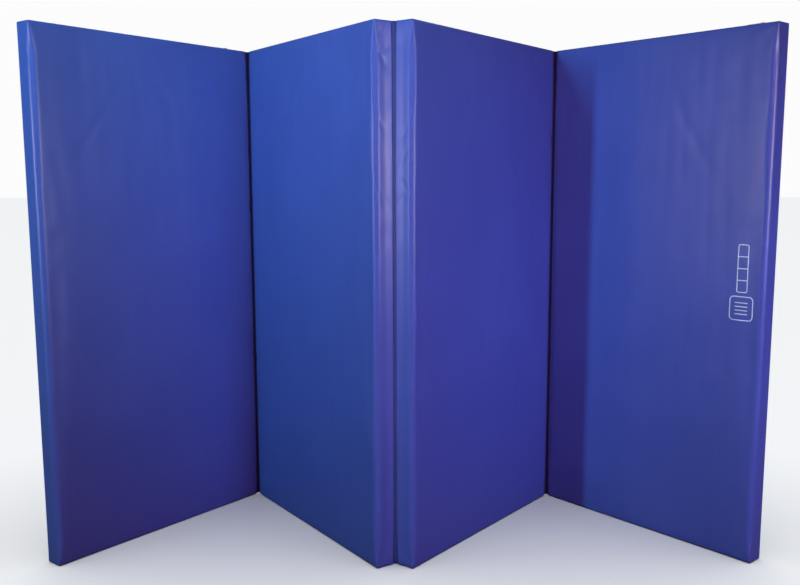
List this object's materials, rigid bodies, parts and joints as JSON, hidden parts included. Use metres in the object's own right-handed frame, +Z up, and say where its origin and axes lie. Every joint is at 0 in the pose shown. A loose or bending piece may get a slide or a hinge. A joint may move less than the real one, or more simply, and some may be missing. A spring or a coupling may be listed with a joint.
{
  "type": "folding gym mat",
  "caption": "Folding gymnastics mat standing on edge in a zigzag: padded panels in coated-fabric covers, hinged on alternate faces, each cover closed by a zip.",
  "frame": {"origin": "on the floor, at the centre of the standing mat's bounding box in X and Y", "axes": "+Z up, along the hinge lines; +X along the row of panels, from the first to the fourth; -Y is the side that the outer ends and the middle ridge point to"},
  "size_m": [1.6726, 0.5292, 1.2246],
  "materials": {
    "vinyl": "satin",
    "foam": "matte",
    "zip_tape": "matte",
    "zip_coil": "satin",
    "zip_metal": "polished"
  },
  "bodies": {
    "panel_1": {"front_sheet_1": "vinyl", "back_sheet_1": "vinyl", "bottom_end_wall_1": "vinyl", "top_end_wall_1": "vinyl", "foam_core_1": "foam", "zip_tape_front_1": "zip_tape", "zip_chain_front_1": "zip_coil", "zip_tape_back_1": "zip_tape", "zip_chain_back_1": "zip_coil", "zip_stops_1": "zip_metal"},
    "slider_1": {"zip_slider_1": "zip_metal"},
    "pull_1": {"zip_pull_1": "zip_metal"},
    "panel_2": {"front_sheet_2": "vinyl", "back_sheet_2": "vinyl", "bottom_end_wall_2": "vinyl", "top_end_wall_2": "vinyl", "foam_core_2": "foam", "zip_tape_front_2": "zip_tape", "zip_chain_front_2": "zip_coil", "zip_tape_back_2": "zip_tape", "zip_chain_back_2": "zip_coil", "zip_stops_2": "zip_metal", "hinge_web_1": "vinyl", "hinge_web_2": "vinyl"},
    "slider_2": {"zip_slider_2": "zip_metal"},
    "pull_2": {"zip_pull_2": "zip_metal"},
    "panel_3": {"front_sheet_3": "vinyl", "back_sheet_3": "vinyl", "bottom_end_wall_3": "vinyl", "top_end_wall_3": "vinyl", "foam_core_3": "foam", "zip_tape_front_3": "zip_tape", "zip_chain_front_3": "zip_coil", "zip_tape_back_3": "zip_tape", "zip_chain_back_3": "zip_coil", "zip_stops_3": "zip_metal", "hinge_web_3": "vinyl"},
    "slider_3": {"zip_slider_3": "zip_metal"},
    "pull_3": {"zip_pull_3": "zip_metal"},
    "panel_4": {"front_sheet_4": "vinyl", "back_sheet_4": "vinyl", "bottom_end_wall_4": "vinyl", "top_end_wall_4": "vinyl", "foam_core_4": "foam", "zip_tape_front_4": "zip_tape", "zip_chain_front_4": "zip_coil", "zip_tape_back_4": "zip_tape", "zip_chain_back_4": "zip_coil", "zip_stops_4": "zip_metal"},
    "slider_4": {"zip_slider_4": "zip_metal"},
    "pull_4": {"zip_pull_4": "zip_metal"}
  },
  "joints": [
    {"name": "fold_1", "type": "hinge", "parent": "panel_2", "child": "panel_1", "pos_m": [-0.40696, 0.23871, 0], "axis": [0, 0, 1], "range_deg": [-106, 74], "deforming": ["hinge_web_1"]},
    {"name": "fold_2", "type": "hinge", "parent": "panel_2", "child": "panel_3", "pos_m": [-0.0239, -0.23871, 0], "axis": [0, 0, 1], "range_deg": [-106, 74], "deforming": ["hinge_web_2"]},
    {"name": "fold_3", "type": "hinge", "parent": "panel_3", "child": "panel_4", "pos_m": [0.40696, 0.19605, 0], "axis": [0, 0, -1], "range_deg": [-100, 80], "deforming": ["hinge_web_3"]},
    {"name": "zip_slide_1", "type": "slide", "parent": "panel_1", "child": "slider_1", "axis": [-0.6428, -0.766, 0], "range_m": [0, 0.506]},
    {"name": "pull_swing_1", "type": "hinge", "parent": "slider_1", "child": "pull_1", "pos_m": [-0.45977, 0.21514, 1.2225], "axis": [-0.766, 0.6428, 0], "range_deg": [0, 180]},
    {"name": "zip_slide_2", "type": "slide", "parent": "panel_2", "child": "slider_2", "axis": [-0.5592, 0.829, 0], "range_m": [0, 0.506]},
    {"name": "pull_swing_2", "type": "hinge", "parent": "slider_2", "child": "pull_2", "pos_m": [-0.07396, -0.20975, 1.2225], "axis": [0.829, 0.5592, 0], "range_deg": [0, 180]},
    {"name": "zip_slide_3", "type": "slide", "parent": "panel_3", "child": "slider_3", "axis": [-0.6428, -0.766, 0], "range_m": [0, 0.506]},
    {"name": "pull_swing_3", "type": "hinge", "parent": "slider_3", "child": "pull_3", "pos_m": [0.35415, 0.17248, 1.2225], "axis": [-0.766, 0.6428, 0], "range_deg": [0, 180]},
    {"name": "zip_slide_4", "type": "slide", "parent": "panel_4", "child": "slider_4", "axis": [-0.6428, 0.766, 0], "range_m": [0, 0.506]},
    {"name": "pull_swing_4", "type": "hinge", "parent": "slider_4", "child": "pull_4", "pos_m": [0.78502, -0.21514, 1.2225], "axis": [0.766, 0.6428, 0], "range_deg": [0, 180]}
  ]
}
